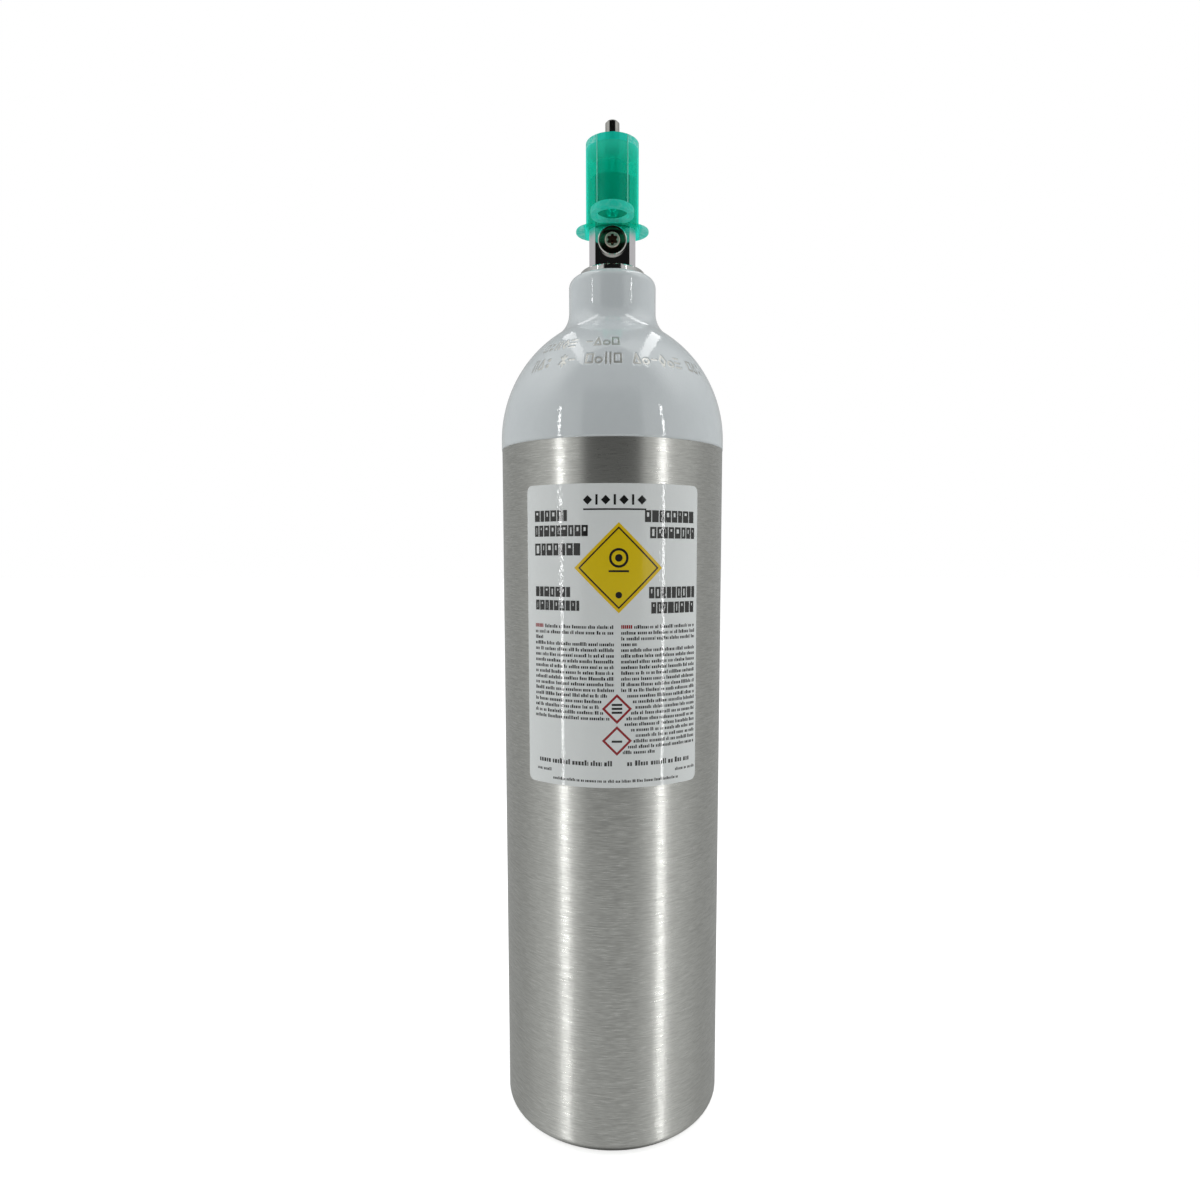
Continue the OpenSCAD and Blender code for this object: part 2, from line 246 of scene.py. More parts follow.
def enamel():
    """White gloss enamel with the soft ripple of sprayed paint"""
    material, n, shader = new_material("white_enamel", Roughness=0.03, IOR=1.78)
    dust = n.noise(300)
    peel = n.noise(1000, detail=0)
    slow = n.noise(150, detail=1)
    n.wire(shader,
           Base_Color=n.mix(dust, rgb(0.75, 0.80, 0.835), rgb(0.78, 0.83, 0.865)),
           Normal=n.bump(peel, 0.025 * MM, normal=n.bump(slow, 0.06 * MM)))
    return material


def label_stock(name, light, dark):
    """Printed film under a clear gloss layer; the film's fine tooth breaks up what it mirrors"""
    material, n, shader = new_material(
        name, Roughness=0.45, IOR=1.3, Coat_Weight=1.0, Coat_IOR=1.6, Coat_Roughness=0.02)
    mottle = n.noise(900, detail=3)
    tooth = n.noise(1000, detail=0)
    n.wire(shader,
           Base_Color=n.mix(mottle, rgb(*dark), rgb(*light)),
           Normal=n.bump(tooth, 0.03 * MM),
           Coat_Normal=n.bump(tooth, 0.022 * MM))
    return material


def chrome(name, light, dark, roughness, milled_x=None):
    """Plated, polished metal with faint turning lines and a few scuffs

    Beyond milled_x to each side, the part of the post above the flange is dull from milling.
    """
    material, n, shader = new_material(name, Metallic=1.0)
    lines = n.noise((150, 150, 6000))
    scuffs = n.noise(700, detail=4, roughness=0.65)
    colour = n.mix(n.ramp(scuffs, 0.35, 0.75), rgb(*light), rgb(*dark))
    gloss = n.ramp(scuffs, 0.45, 0.8, roughness, roughness * 2.4)
    if milled_x:
        x, _, z = n.split(n.place())
        x = n.math("ABSOLUTE", x)
        on_post = n.times(n.ramp(x, POST_X, POST_X + EDGE, 1.0, 0.0),
                          n.ramp(z, FLANGE_TOP, FLANGE_TOP + EDGE))
        milled = n.times(n.ramp(x, milled_x, milled_x + EDGE), on_post)
        gloss = n.mix_value(milled, gloss, 0.34)
        colour = n.mix(milled, colour, rgb(0.96, 0.93, 0.96))
    n.wire(shader, Base_Color=colour, Roughness=gloss, Normal=n.bump(lines, 0.004 * MM, 0.6))
    return material


def turned_metal(name, light, dark, roughness):
    """Unplated brass or copper, off the lathe, a little tarnished"""
    material, n, shader = new_material(name, Metallic=1.0)
    tarnish = n.noise(260, detail=4, roughness=0.6)
    lines = n.noise((120, 120, 4000))
    n.wire(shader,
           Base_Color=n.mix(n.ramp(tarnish, 0.4, 0.7), rgb(*light), rgb(*dark)),
           Roughness=n.ramp(tarnish, 0.4, 0.7, roughness, roughness + 0.2),
           Normal=n.bump(lines, 0.01 * MM, 0.8))
    return material


def moulded(name, light, dark, roughness):
    """Rubber or nylon with the fine mottle of a moulding"""
    material, n, shader = new_material(name)
    mottle = n.noise(1200, detail=3)
    n.wire(shader,
           Base_Color=n.mix(mottle, rgb(*light), rgb(*dark)),
           Roughness=n.ramp(mottle, 0.3, 0.7, roughness, roughness + 0.15),
           Normal=n.bump(mottle, 0.03 * MM, 0.7))
    return material


def plug_metal():
    """Safety plug: bright rim, a dish given painted shade for the dark it mirrors, dull turned
    boss in the middle, and painted shade with grime deeper in its socket
    """
    material, n, shader = new_material("plug_metal", Metallic=1.0)
    x, y, z = n.split(n.place())
    z = n.math("SUBTRACT", z, PLUG_Z)
    r = n.math("SQRT", n.plus(n.times(x, x), n.times(z, z)))
    boss = n.ramp(r, PLUG_BOSS_R, PLUG_BOSS_R + EDGE, 1.0, 0.0)
    rim = n.ramp(r, PLUG_DISH_R, PLUG_DISH_R + 0.15 * MM)
    # painted shade, with grime: the socket mask darkens the boss deeper into its recess
    socket = n.ramp(y, PLUG_LOW.y + 0.1 * MM, PLUG_LOW.y + 0.5 * MM)
    wear = n.noise(900, detail=3)
    lines = n.noise((2600, 200, 2600), detail=1)
    # painted shade: the dish's near-black colour stands for the dark that its plated face mirrors
    dish_with_painted_shade = n.mix(wear, rgb(0.10, 0.09, 0.06), rgb(0.17, 0.15, 0.10))
    turned = n.mix(wear, rgb(0.66, 0.56, 0.48), rgb(0.78, 0.70, 0.62))
    turned = n.mix(socket, turned, rgb(0.10, 0.055, 0.035))
    n.wire(shader,
           Base_Color=n.mix(rim, n.mix(boss, dish_with_painted_shade, turned), rgb(0.72, 0.71, 0.68)),
           Roughness=n.plus(n.times(boss, 0.28), n.ramp(wear, 0.3, 0.7, 0.10, 0.16)),
           Normal=n.bump(lines, 0.006 * MM, 0.8))
    return material


def cover_plastic():
    """Translucent teal polyethylene

    What lies close behind its thin wall shows through; thick parts are paler and less clear.
    """
    material, n, shader = new_material("teal_polyethylene", IOR=1.45)
    x, y, z = n.split(n.place())
    x = n.math("ABSOLUTE", x)

    # the thick parts
    top = COVER_HIGH.z
    wings = n.ramp(x, COVER_R + 0.1 * MM, COVER_R + 0.8 * MM)
    pull_ring = n.ramp(n.times(y, -1.0), COVER_R + 0.1 * MM, COVER_R + 0.5 * MM)
    roof = n.ramp(z, top - 3.9 * MM, top - 3.1 * MM)
    thick = n.most(roof, n.most(wings, pull_ring))

    # the thin wall, with marks of its flow in the mould, hazier towards the roof, and paler there
    # as painted light under the roof
    flow = n.noise((90, 90, 35), detail=3, distortion=0.4)
    haze_and_painted_light = n.ramp(z, top - 14 * MM, top - 4 * MM, smooth=False)
    thin_colour = n.mix(n.ramp(flow, 0.35, 0.65), rgb(0.0, 0.66, 0.45), rgb(0.0, 0.74, 0.53))
    thin_colour = n.mix(haze_and_painted_light, thin_colour, rgb(0.10, 0.95, 0.82))

    # painted highlights as pale glints in the roof's corners, and a pale mottle on the wings and
    # the pull ring
    corners = n.times(roof, n.ramp(x, BEAD_X - 0.3 * MM, BEAD_X + 0.3 * MM))
    painted_glints = n.ramp(n.noise(1100, detail=1), 0.50, 0.54, 0.3, 1.0)
    mottle = n.ramp(n.noise(420, detail=3), 0.38, 0.62, 0.25, 0.9)
    pale = n.plus(n.times(corners, painted_glints),
                  n.times(n.most(wings, n.times(pull_ring, 0.25)), mottle))
    thick_colour = n.mix(pale, rgb(0.02, 0.82, 0.68), rgb(0.52, 0.99, 0.93))

    colour = n.mix(thick, thin_colour, thick_colour)
    speck = n.noise(1400)
    n.wire(shader,
           Base_Color=colour,
           Roughness=n.ramp(speck, 0.3, 0.7, 0.16, 0.26),
           Normal=n.bump(n.plus(n.times(speck, 0.25), flow), 0.1 * MM, 0.5))
    clear = n.add("ShaderNodeBsdfTransparent", {"Color": rgb(0.18, 0.96, 0.88)}).outputs[0]
    clarity = n.math("MINIMUM", n.ramp(thick, 0.0, 1.0, 0.66, 0.30),
                     n.ramp(haze_and_painted_light, 0.0, 1.0, 0.66, 0.56))
    n.finish(n.mix_shaders(clarity, n.lit_through(shader, colour, 0.35), clear))
    return material


def web_plastic():
    """The paler, stressed plastic of the tear lines"""
    material, n, shader = new_material("tear_line_plastic", Roughness=0.25, IOR=1.45)
    mottle = n.noise((500, 500, 900))
    colour = n.mix(mottle, rgb(0.30, 0.94, 0.85), rgb(0.55, 0.99, 0.94))
    n.wire(shader, Base_Color=colour, Normal=n.bump(mottle, 0.05 * MM))
    n.finish(n.lit_through(shader, colour, 0.45))
    return material


# ---------------------------------------------------------------- mesh helpers

def add_piece(name, mesh, material, body):
    """A new piece of the object, riding on a CAD body"""
    mesh.materials.append(material)
    piece = bpy.data.objects.new(name, mesh)
    scene.collection.objects.link(piece)
    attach(piece, body)
    return piece


def smooth_mesh(name, verts, faces):
    mesh = bpy.data.meshes.new(name)
    mesh.from_pydata(verts, [], faces)
    mesh.validate()
    for polygon in mesh.polygons:
        polygon.use_smooth = True
    return mesh


def tube_faces(rows, count):
    """The quads between rows of points, where each row is a closed loop of count points"""
    faces = []
    for row in range(rows - 1):
        for i in range(count):
            j = (i + 1) % count
            faces.append((row * count + i, row * count + j,
                          (row + 1) * count + j, (row + 1) * count + i))
    return faces


# ---------------------------------------------------------------- flat outlines

def box(left, bottom, right, top):
    return [(left, bottom), (right, bottom), (right, top), (left, top)]


def rounded_box(left, bottom, right, top, radius):
    steps = 6
    corners = ((right - radius, top - radius, 0), (left + radius, top - radius, 90),
               (left + radius, bottom + radius, 180), (right - radius, bottom + radius, 270))
    points = []
    for x, z, start in corners:
        for i in range(steps + 1):
            angle = math.radians(start + 90 * i / steps)
            points.append((x + radius * math.cos(angle), z + radius * math.sin(angle)))
    return points


def disc(x, z, radius, count=28):
    turn = 2 * math.pi / count
    return [(x + radius * math.cos(i * turn), z + radius * math.sin(i * turn))
            for i in range(count)]


def diamond(x, z, half):
    return [(x + half, z), (x, z + half), (x - half, z), (x, z - half)]


def band(inner, outer):
    """The strip between two outlines of as many points each, as quads"""
    count = len(inner)
    return [[outer[i], outer[(i + 1) % count], inner[(i + 1) % count], inner[i]]
            for i in range(count)]


def ring(x, z, inner, outer):
    count = 32
    return band(disc(x, z, inner, count), disc(x, z, outer, count))


def diamond_line(x, z, half, width):
    return band(diamond(x, z, half - width), diamond(x, z, half))


# ---------------------------------------------------------------- enamel coat

PAINT_BOTTOM = 339.5 * MM
PAINT_T = 0.2 * MM
PAINT_FOOT_T = 0.15 * MM
COAT_END_R = FLANGE_R + 0.15 * MM
COAT_STEP = 1.1 * MM      # spacing of the coat's points, along its profile and round it
COAT_TURN = math.radians(2.0)
STAMP_STEP = 0.26 * MM    # the same where the marks are stamped
STAMP_TURN = math.radians(0.33)
CLOSING_TURN = 0.01       # the last column of points stays at least this far from the first

SHOULDER_Z = NECK_TOP - SHOULDER_H
SHOULDER_CX = BARREL_R - SHOULDER_R
FILLET_CX = NECK_R + FILLET_R
FILLET_CZ = SHOULDER_Z + math.sqrt(
    (SHOULDER_R + FILLET_R) ** 2 - (FILLET_CX - SHOULDER_CX) ** 2)
BLEND_ANGLE = math.atan2(FILLET_CZ - SHOULDER_Z, FILLET_CX - SHOULDER_CX)

BARREL_L = SHOULDER_Z - PAINT_BOTTOM
SHOULDER_L = SHOULDER_R * BLEND_ANGLE
FILLET_L = FILLET_R * BLEND_ANGLE
NECK_L = NECK_TOP - NECK_EDGE_R - FILLET_CZ
EDGE_L = NECK_EDGE_R * math.pi / 2


def on_arc(cx, cz, radius, a):
    """Point and normal (r, z, normal_r, normal_z) on an arc; a hollow one has a negative radius"""
    return cx + radius * math.cos(a), cz + radius * math.sin(a), math.cos(a), math.sin(a)


def shell_point(s):
    """Point and normal of the shell at length s up its painted part"""
    if s < BARREL_L:
        return BARREL_R, PAINT_BOTTOM + s, 1.0, 0.0
    s -= BARREL_L
    if s < SHOULDER_L:
        return on_arc(SHOULDER_CX, SHOULDER_Z, SHOULDER_R, s / SHOULDER_R)
    s -= SHOULDER_L
    if s < FILLET_L:
        return on_arc(FILLET_CX, FILLET_CZ, -FILLET_R, BLEND_ANGLE - s / FILLET_R)
    s -= FILLET_L
    if s < NECK_L:
        return NECK_R, FILLET_CZ + s, 1.0, 0.0
    a = min((s - NECK_L) / NECK_EDGE_R, math.pi / 2)
    return on_arc(NECK_R - NECK_EDGE_R, NECK_TOP - NECK_EDGE_R, NECK_EDGE_R, a)


def coat_profile(fine_from, fine_to):
    """Points (r, z, normal_r, normal_z, length), closer together between the two lengths"""
    total = BARREL_L + SHOULDER_L + FILLET_L + NECK_L + EDGE_L
    points, s = [], 0.0
    while s < total:
        points.append(shell_point(s) + (s,))
        s += STAMP_STEP if fine_from < s < fine_to else COAT_STEP
    points.append(shell_point(total) + (total,))
    points.append((COAT_END_R, NECK_TOP, 0.0, 1.0, total + 0.2 * MM))
    return points


def length_at(r):
    """Length up the painted part to the place on the shoulder where its radius is r"""
    return BARREL_L + SHOULDER_R * math.acos((r - SHOULDER_CX) / SHOULDER_R)


def circle(x, y, radius, steps):
    """A closed line round a circle"""
    points = []
    for i in range(steps + 1):
        a = math.radians(360 * i / steps)
        points.append((x + radius * math.cos(a), y + radius * math.sin(a)))
    return points


# Plain inspection marks in a box 3 mm wide and 6 mm high, as lines of points in mm. They stand
# where the photo has lettering, and no mark is a letter.
STAMPS = {
    "square": [[(0, 0.5), (3, 0.5), (3, 5.5), (0, 5.5), (0, 0.5)]],
    "triangle": [[(0, 0.3), (3, 0.3), (1.5, 5.8), (0, 0.3)]],
    "tilted": [[(1.5, 0), (3, 3), (1.5, 6), (0, 3), (1.5, 0)]],
    "circle": [circle(1.5, 1.7, 1.5, 16)],
    "bars": [[(0.5, 0), (0.5, 6)], [(2.5, 0), (2.5, 6)]],
    "steps": [[(0, 0.4), (3, 0.4)], [(0, 3), (3, 3)], [(0, 5.6), (3, 5.6)]],
    "star": [[(0, 1), (3, 5)], [(0, 5), (3, 1)], [(1.5, 0), (1.5, 6)]],
    "dots": [circle(1.5, 1.2, 0.6, 8), circle(1.5, 4.6, 0.6, 8)],
    "dash": [[(0.3, 3), (2.7, 3)]],
}
STAMP_ROWS = (
    # radius of the row's foot, offset of its first mark from the front, size, and marks, where
    # None is a space
    (48.6 * MM, -43.0 * MM, 1.0, (
        "bars", "triangle", "dots", None, "star", "dash", None, "square", "circle", "bars",
        "square", None, "triangle", "circle", "dash", "tilted", "circle", "steps", None,
        "square", "triangle", "dots")),
    (42.6 * MM, -37.5 * MM, 0.95, (
        "square", "dots", "bars", "tilted", "steps", None, "dash", "triangle", "circle",
        "square")),
)
STAMP_PITCH = 4.4 * MM
STAMP_DEPTH = 0.40 * MM
STAMP_HALF_W = 0.25 * MM
STAMP_SOFT = 0.50 * MM    # width of the sloping side of a stroke
STAMP_REACH = 6 * MM      # a stroke sinks nothing further from its middle than this
STAMP_MARGIN = 1 * MM
STAMP_MARGIN_TURN = 0.03


def stamp_strokes():
    """Short straight strokes (row radius, x0, s0, x1, s1) of every stamped mark"""
    strokes = []
    for radius, start, size, marks in STAMP_ROWS:
        s = length_at(radius)
        for i, mark in enumerate(marks):
            x = start + i * STAMP_PITCH * size
            for line in STAMPS[mark] if mark else ():
                for (ax, ay), (bx, by) in zip(line, line[1:]):
                    strokes.append((radius, x + ax * size * MM, s + ay * size * MM,
                                    x + bx * size * MM, s + by * size * MM))
    return strokes


def stamp_depth(strokes, angle, s):
    """How far the stamping sinks the paint at an angle from the front and a length up"""
    nearest = 1.0
    for radius, ax, ay, bx, by in strokes:
        x = angle * radius
        if max(abs(s - (ay + by) / 2), abs(x - (ax + bx) / 2)) > STAMP_REACH:
            continue
        dx, dy = bx - ax, by - ay
        t = max(0.0, min(1.0, ((x - ax) * dx + (s - ay) * dy) / (dx * dx + dy * dy)))
        nearest = min(nearest, math.hypot(x - ax - t * dx, s - ay - t * dy))
    k = max(0.0, min(1.0, 1 - (nearest - STAMP_HALF_W) / STAMP_SOFT))
    return STAMP_DEPTH * k * k * (3 - 2 * k)


def enamel_coat(material):
    strokes = stamp_strokes()
    low = min(min(s[2], s[4]) for s in strokes) - STAMP_MARGIN
    high = max(max(s[2], s[4]) for s in strokes) + STAMP_MARGIN
    left = min(min(s[1], s[3]) / s[0] for s in strokes) - STAMP_MARGIN_TURN
    right = max(max(s[1], s[3]) / s[0] for s in strokes) + STAMP_MARGIN_TURN
    angles, a = [], -math.pi
    while a < math.pi - CLOSING_TURN:
        angles.append(a)
        a += STAMP_TURN if left < a < right else COAT_TURN
    # the first two rows close the coat's foot against the barrel
    tucked_in = (BARREL_R - 0.05 * MM, PAINT_BOTTOM, 0.0, 0.0, 0.0)
    foot = (BARREL_R + 0.12 * MM, PAINT_BOTTOM, 0.0, 0.0, 0.0)
    rows = [tucked_in, foot] + coat_profile(low, high)
    verts = []
    for row, (r, z, normal_r, normal_z, s) in enumerate(rows):
        thickness = PAINT_T if row > 2 else PAINT_FOOT_T
        for a in angles:
            stamped = low < s < high and left < a < right
            lift = thickness - (stamp_depth(strokes, a, s) if stamped else 0.0)
            radius = r + normal_r * lift
            verts.append((radius * math.sin(a), -radius * math.cos(a), z + normal_z * lift))
    mesh = smooth_mesh("enamel_coat", verts, tube_faces(len(rows), len(angles)))
    add_piece("enamel_coat", mesh, material, "cylinder")


# ---------------------------------------------------------------- label

FILM_BACK = 0.15 * MM     # depth of the film's back below the CAD label's face
FILM_FACE = 0.045 * MM    # and of its front
PRINT_T = 0.015 * MM      # thickness of each layer of print
FILM_CORNER_R = 3 * MM
WRAP_STEP = 1.4 * MM      # longest chord of a flat outline bent round the barrel

# ink: layer of print, light and dark tint. In the order that the pieces are made.
INKS = {
    "black": (2, (0.003, 0.003, 0.003), (0.006, 0.006, 0.006)),
    "grey": (0, (0.012, 0.012, 0.013), (0.025, 0.025, 0.026)),
    "red": (1, (0.36, 0.0, 0.008), (0.30, 0.0, 0.006)),
    "amber": (0, (0.92, 0.62, 0.0), (0.88, 0.59, 0.0)),
    "yellow": (1, (0.90, 0.66, 0.0), (0.85, 0.62, 0.0)),
    "white": (0, (0.93, 0.965, 0.975), (0.90, 0.93, 0.94)),
}

# The print's layout in mm: u is along the arc from the front, to the right, and z is height.
# Headings: left, foot, right, height
HEADINGS = (
    (-38.8, 302.4, -21.0, 5.0), (-38.8, 295.6, -10.9, 5.0), (-38.8, 287.0, -14.7, 5.5),
    (-38.5, 268.2, -19.6, 4.6), (-38.5, 262.0, -15.2, 4.6),
    (14.8, 301.9, 41.8, 5.3), (17.3, 294.7, 41.8, 5.1),
    (16.9, 267.6, 42.2, 5.2), (18.0, 260.7, 42.2, 5.2),
)
HEADING_FILLS = (0.0, 0.45, 0.45, 0.6, 1.0)
RED_WORDS = ((-38.8, 254.0, -33.9, 1.65), (4.0, 254.0, 9.2, 1.65))

# Body text in two columns: left, right, top, height, number of lines, and the (left, right) of
# each line that isn't a full one, by its number
TEXT_PITCH = 2.62 * MM
LEFT_COLUMN = (-38.8, 0.7, 255.6, 1.65, 17, {
    0: (-33.0, 0.6), 2: (-38.7, -34.3), 12: (-38.9, -2.4), 13: (-39.0, -4.8),
    14: (-39.0, -6.2), 15: (-39.1, -4.0), 16: (-39.2, -1.2)})
RIGHT_COLUMN = (4.0, 42.4, 255.6, 1.65, 23, {
    0: (9.9, 42.4), 3: (4.0, 11.2), 12: (6.8, 42.6), 13: (9.4, 42.6), 14: (10.6, 42.6),
    15: (8.6, 42.6), 16: (6.4, 42.6), 17: (5.6, 42.6), 18: (8.6, 42.6), 19: (10.8, 42.6),
    20: (9.8, 42.6), 21: (7.2, 42.6), 22: (4.8, 20.0)})
FOOT_LINES = (
    (-36.8, -0.2, 193.2, 2.5, 1, {}), (6.8, 39.6, 193.2, 2.5, 1, {}),
    (-38.2, -30.0, 188.2, 1.5, 1, {}), (31.0, 43.0, 188.2, 1.5, 1, {}),
    (-29.0, 32.6, 184.4, 1.4, 1, {}),
)
TEXT_SEED = 11
RED_SEED = 31

# The small blocks of the text: how many stand in a word, and their sizes as parts of a line's
# height
WORD_BLOCKS = (2, 2, 3, 4, 5, 6, 7, 8, 9)
BLOCK_PITCH = 0.52
BLOCK_WIDTHS = (0.26, 0.5)
BLOCK_HEIGHTS = (0.72, 0.72, 0.72, 1.0)
BLOCK_GAP = 0.16
WORD_GAP = 0.45

# Small diamonds: height of the middle, and the feet of the bars in it, from the middle
SMALL_DIAMONDS = ((217.3, (-2.2, -0.4, 1.4)), (202.5, (-0.8,)))


def on_barrel(u, z, r):
    """The point at height z and radius r, u along the arc from the front, to the right"""
    angle = u / LABEL_R
    return r * math.sin(angle), -r * math.cos(angle), z


def wrapped(name, outlines, material, r_low, r_high):
    """Flat outlines of (u, z) points, bent round the barrel as thin film from r_low to r_high"""
    bm = bmesh.new()
    for outline in outlines:
        bm.faces.new([bm.verts.new((u, 0, z)) for u, z in outline])
    left = min(v.co.x for v in bm.verts)
    right = max(v.co.x for v in bm.verts)
    x = left + WRAP_STEP
    while x < right:
        bmesh.ops.bisect_plane(bm, geom=bm.verts[:] + bm.edges[:] + bm.faces[:], dist=1e-7,
                               plane_co=(x, 0, 0), plane_no=(1, 0, 0))
        x += WRAP_STEP
    for face in bm.faces:
        face.normal_update()
        if face.normal.y > 0:
            face.normal_flip()
    made = bmesh.ops.extrude_face_region(bm, geom=bm.faces[:])
    raised = {v for v in made["geom"] if isinstance(v, bmesh.types.BMVert)}
    for v in bm.verts:
        v.co = on_barrel(v.co.x, v.co.z, r_high if v in raised else r_low)
    bmesh.ops.recalc_face_normals(bm, faces=bm.faces[:])
    mesh = bpy.data.meshes.new(name)
    bm.to_mesh(mesh)
    bm.free()
    return add_piece(name, mesh, material, "cylinder")


def in_metres(sizes):
    return tuple(size * MM for size in sizes)


def frame_block(left, foot, right, top, stroke, filled):
    """A box outline, filled from its foot up to the stated share of its height"""
    if filled >= 1:
        return [box(left, foot, right, top)]
    inner, outer = left + stroke, right - stroke
    fill = foot + max(stroke, filled * (top - foot))
    return [box(left, foot, inner, top), box(outer, foot, right, top),
            box(inner, top - stroke, outer, top), box(inner, foot, outer, fill)]


def block_line(place, seed, share, gap, stroke=None):
    """A line of plain upright blocks, where the photo has lettering

    share and gap are a block's width and the space after it, as parts of its height. Given a
    stroke, blocks that are wide enough are part-filled frames.
    """
    draw = random.Random(seed)
    left, foot, right, height = in_metres(place)
    top = foot + height
    blocks = []
    x = left
    while x < right - 0.3 * height * share:
        w = min(height * share * draw.uniform(0.75, 1.15), right - x)
        if stroke and w > 2.2 * stroke:
            blocks += frame_block(x, foot, x + w, top, stroke, draw.choice(HEADING_FILLS))
        else:
            blocks.append(box(x, foot, x + w, top))
        x += w + height * gap
    return blocks


def text_lines(place, seed):
    """Justified lines of small blocks in groups as long as words, where the photo has text"""
    draw = random.Random(seed)
    count, part_lines = place[4:]
    left, right, top, height = in_metres(place[:4])
    marks = []
    for i in range(count):
        x, end = in_metres(part_lines[i]) if i in part_lines else (left, right)
        foot = top - i * TEXT_PITCH - height
        while x < end:
            word = draw.choice(WORD_BLOCKS) * height * BLOCK_PITCH
            if end - (x + word) < height:
                word = end - x
            edge = x
            while edge < x + word - 0.05 * MM:
                w = min(height * draw.uniform(*BLOCK_WIDTHS), x + word - edge)
                tall = height * draw.choice(BLOCK_HEIGHTS)
                marks.append(box(edge, foot, edge + w, foot + tall))
                edge += w + height * BLOCK_GAP
            x += word + height * WORD_GAP
    return marks


def head_mark():
    """A row of diamonds and posts over a bar, at the head of the label"""
    marks = []
    for i in range(7):
        x = (-11.2 + 4.1 * i) * MM
        if i % 2:
            marks.append(box(x - 0.5 * MM, 309.5 * MM, x + 0.5 * MM, 314.1 * MM))
        else:
            marks.append(diamond(x, 311.7 * MM, 2.1 * MM))
    marks.append(box(-13.2 * MM, 307.2 * MM, 15.4 * MM, 307.9 * MM))
    return marks


def large_diamond(inks):
    """Yellow with an amber edge and a black line; a plain target stands in place of a sign"""
    x, z, half = in_metres((2.9, 281.4, 20.4))
    line_half = half - 1.9 * MM
    target_z = z + 4.5 * MM
    inks["amber"].append(diamond(x, z, half))
    inks["yellow"].append(diamond(x, z, line_half))
    inks["black"] += diamond_line(x, z, line_half, 0.95 * MM)
    inks["black"] += ring(x, target_z, 3.3 * MM, 4.4 * MM)
    inks["black"].append(disc(x, target_z, 1.7 * MM))
    inks["black"].append(box(x - 4.6 * MM, z - 1.9 * MM, x + 4.6 * MM, z - 1.0 * MM))
    inks["black"].append(disc(x, z - 12.2 * MM, 1.5 * MM))


def small_diamond(inks, height, bars):
    """White with a red line, and plain bars in place of a sign"""
    x, half, bar_half, bar_height = in_metres((2.1, 6.9, 2.4, 1.0))
    z = height * MM
    inks["white"].append(diamond(x, z, half))
    inks["red"] += diamond_line(x, z, half, 1.5 * MM)
    for bar in bars:
        foot = z + bar * MM
        inks["black"].append(box(x - bar_half, foot, x + bar_half, foot + bar_height))


def label_print():
    """Outlines of every printed area, by ink"""
    inks = {ink: [] for ink in INKS}
    for seed, place in enumerate(HEADINGS):
        inks["black"] += block_line(place, seed, share=0.56, gap=0.09, stroke=0.95 * MM)
    inks["black"] += head_mark()
    large_diamond(inks)
    for height, bars in SMALL_DIAMONDS:
        small_diamond(inks, height, bars)
    for seed, place in enumerate((LEFT_COLUMN, RIGHT_COLUMN) + FOOT_LINES, TEXT_SEED):
        inks["grey"] += text_lines(place, seed)
    for seed, place in enumerate(RED_WORDS, RED_SEED):
        inks["red"] += block_line(place, seed, share=0.42, gap=0.14)
    return inks


def add_label():
    film = label_stock("label_film", *INKS["white"][1:])
    u = LABEL_HALF_ANGLE * LABEL_R
    outline = rounded_box(-u, LABEL_LOW.z, u, LABEL_HIGH.z, FILM_CORNER_R)
    sheet = wrapped("label_film", [outline], film, LABEL_R - FILM_BACK, LABEL_R - FILM_FACE)
    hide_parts("product_label")
    for ink, outlines in label_print().items():
        layer, light, dark = INKS[ink]
        low = LABEL_R - FILM_FACE + layer * PRINT_T
        wrapped("label_print_" + ink, outlines, label_stock("ink_" + ink, light, dark),
                low, low + PRINT_T)


# ---------------------------------------------------------------- cover

def tear_beads(material):
    """The two raised lines beside the tear strip, from above the pull ring to the roof's edge"""
    y = -(math.sqrt(COVER_R ** 2 - BEAD_X ** 2) + 0.02 * MM)
    low, high = COVER_LOW.z + 1.9 * MM, COVER_HIGH.z - 0.4 * MM
    rows = ((low, 0.4 * BEAD_R), (low + 0.5 * MM, BEAD_R),
            (high - 0.5 * MM, BEAD_R), (high, 0.4 * BEAD_R))
    count = 8
    faces = tube_faces(len(rows), count)
    faces.append(tuple(reversed(range(count))))
    faces.append(tuple(range(3 * count, 4 * count)))
    for name, x in (("tear_bead_left", -BEAD_X), ("tear_bead_right", BEAD_X)):
        verts = []
        for z, r in rows:
            verts += [(bead_x, bead_y, z) for bead_x, bead_y in disc(x, y, r, count)]
        add_piece(name, smooth_mesh(name, verts, faces), material, "cover")


# ---------------------------------------------------------------- CAD nodes

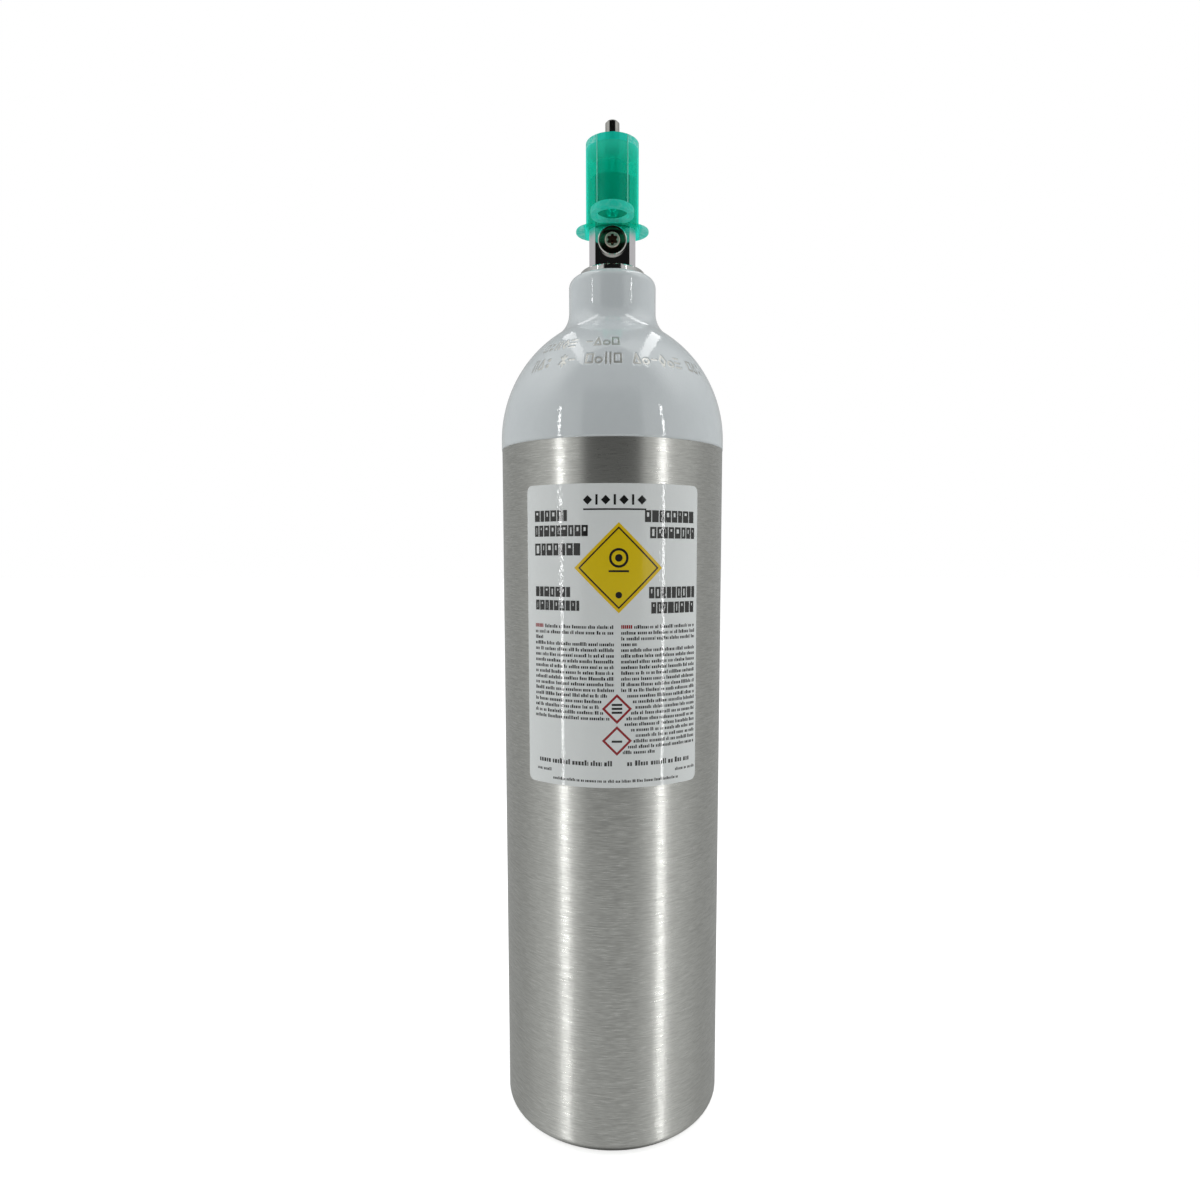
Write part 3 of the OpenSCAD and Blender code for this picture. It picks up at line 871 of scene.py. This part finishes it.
def dress_frame():
    """A finish for every CAD node, by its material slot in the record; the plug has its own"""
    finishes = {
        "shell_aluminium": brushed_aluminium(),
        "valve_chrome": chrome(
            "polished_chrome", (0.74, 0.74, 0.73), (0.66, 0.66, 0.65), 0.07, POST_FACE_X),
        "stem_chrome": chrome("dark_chrome", (0.58, 0.57, 0.54), (0.46, 0.45, 0.43), 0.10),
        "brass_parts": turned_metal(
            "turned_brass", (0.72, 0.53, 0.24), (0.52, 0.36, 0.15), 0.24),
        "copper_parts": turned_metal(
            "rolled_copper", (0.78, 0.42, 0.27), (0.55, 0.27, 0.16), 0.28),
        "black_rubber": moulded(
            "black_rubber", (0.022, 0.022, 0.024), (0.035, 0.035, 0.036), 0.45),
        "white_nylon": moulded("white_nylon", (0.82, 0.81, 0.77), (0.74, 0.73, 0.68), 0.38),
        "cover_plastic": cover_plastic(),
        "label_film": moulded("label_backing", (0.62, 0.64, 0.65), (0.58, 0.60, 0.61), 0.4),
    }
    own = {"safety_plug": plug_metal()}
    for part in frame["record"]["subparts"]:
        finish = own.get(part["node"], finishes[part["material_slot"]])
        for slot in frame["nodes"][part["node"]].material_slots:
            slot.material = finish


# ---------------------------------------------------------------- studio

# Two upright tubes in front: name, x, y, roll in degrees
FRONT_TUBES = (("tube_left", -0.454, -0.391, 4), ("tube_right", 0.458, -0.388, 0))
FRONT_TUBE_Z = 0.065
# Two long tubes overhead, running front to back: name, x, radiance
OVER_TUBES = (("tube_over_left", -0.31, 1.6), ("tube_over_right", 0.31, 2.3))
# Soft fill on the matt surfaces at the sides, which nothing mirrors: name, x
FILLS = (("fill_left", -1.2), ("fill_right", 1.2))

FLOOR_REACH = 12.0


def add_area(name, location, aim, width, height, radiance):
    """A soft lamp that gives the stated radiance over its face"""
    data = bpy.data.lights.new(name, "AREA")
    data.shape = "RECTANGLE"
    data.size, data.size_y = width, height
    data.energy = radiance * math.pi * width * height
    lamp = bpy.data.objects.new(name, data)
    lamp.location = location
    direction = Vector(aim) - Vector(location)
    lamp.rotation_euler = direction.to_track_quat("-Z", "Y").to_euler()
    lamp.visible_camera = False
    scene.collection.objects.link(lamp)
    return lamp


def add_lamps():
    for name, x, y, roll in FRONT_TUBES:
        lamp = add_area(name, (x, y, FRONT_TUBE_Z), (0, 0, FRONT_TUBE_Z),
                        width=0.019, height=1.13, radiance=8.6)
        lamp.rotation_euler.rotate_axis("Z", math.radians(roll))
    for name, x, radiance in OVER_TUBES:
        lamp = add_area(name, (x, 0.2, 1.10), (x, 0.2, 0.4),
                        width=0.09, height=0.9, radiance=radiance)
        lamp.rotation_euler = (0, 0, 0)    # straight down, with its length along Y
    for name, x in FILLS:
        lamp = add_area(name, (x, 0.1, 0.4), (0, 0, 0.3), width=0.8, height=1.2, radiance=0.95)
        lamp.visible_glossy = False


def add_world():
    """Pale tent walls over a dark table top, with a dark opening in front for a camera

    Angles here are in degrees: turn is to each side from the front, and rise is upwards.
    """
    world = bpy.data.worlds.new("tent")
    scene.world = world
    world.use_nodes = True
    n = Nodes(world.node_tree)
    x, y, z = n.split(n.add("ShaderNodeTexCoord").outputs["Generated"])
    turn = n.math("ABSOLUTE", n.math("ARCTAN2", x, n.times(y, -1.0)))
    rise = n.math("ARCSINE", z)

    def between(angle, low, high, *to):
        return n.ramp(angle, math.radians(low), math.radians(high), *to)

    opening = n.times(between(turn, 28, 34, 1.0, 0.0),
                      n.times(between(rise, 38, 46, 1.0, 0.0),
                              between(rise, -19, 6.5, 0.14, 1.0)))
    front_to_back = between(turn, 70, 112, 0.585, 0.40)
    high_sides = n.times(between(turn, 50, 88, 0.58, 2.6), between(turn, 115, 155, 1.0, 0.3))
    wall = n.times(front_to_back, n.mix_value(between(rise, 18, 50), 1.0, high_sides))
    wall = n.times(wall, between(rise, -76, -56, 0.08, 1.0))
    grey = n.times(wall, n.math("SUBTRACT", 1.0, n.times(opening, 0.985)))
    tint = n.times(grey, 0.985)
    colour = n.add("ShaderNodeCombineColor", {0: tint, 1: grey, 2: tint}).outputs[0]
    n.wire(world.node_tree.nodes["Background"],
           Color=n.mix(n.seen_directly(), colour, rgb(1, 1, 1)))


def add_floor():
    material, n, shader = new_material("pale_floor", Roughness=0.6)
    seen = n.seen_directly()
    n.wire(shader,
           Base_Color=n.mix(seen, rgb(0.50, 0.50, 0.48), rgb(0.92, 0.92, 0.92)),
           Emission_Color=rgb(1, 1, 1),
           Emission_Strength=n.times(seen, 0.6))
    mesh = bpy.data.meshes.new("floor")
    corners = box(-FLOOR_REACH, -FLOOR_REACH, FLOOR_REACH, FLOOR_REACH)
    mesh.from_pydata([(x, y, 0) for x, y in corners], [], [(0, 1, 2, 3)])
    mesh.materials.append(material)
    floor = bpy.data.objects.new("floor", mesh)
    scene.collection.objects.link(floor)
    # the tubes and the tent reach below the object, as round a raised table
    floor.visible_glossy = False
    floor.visible_shadow = False


add_camera()
tear_beads(web_plastic())
dress_frame()
enamel_coat(enamel())
add_label()
add_lamps()
add_world()
add_floor()
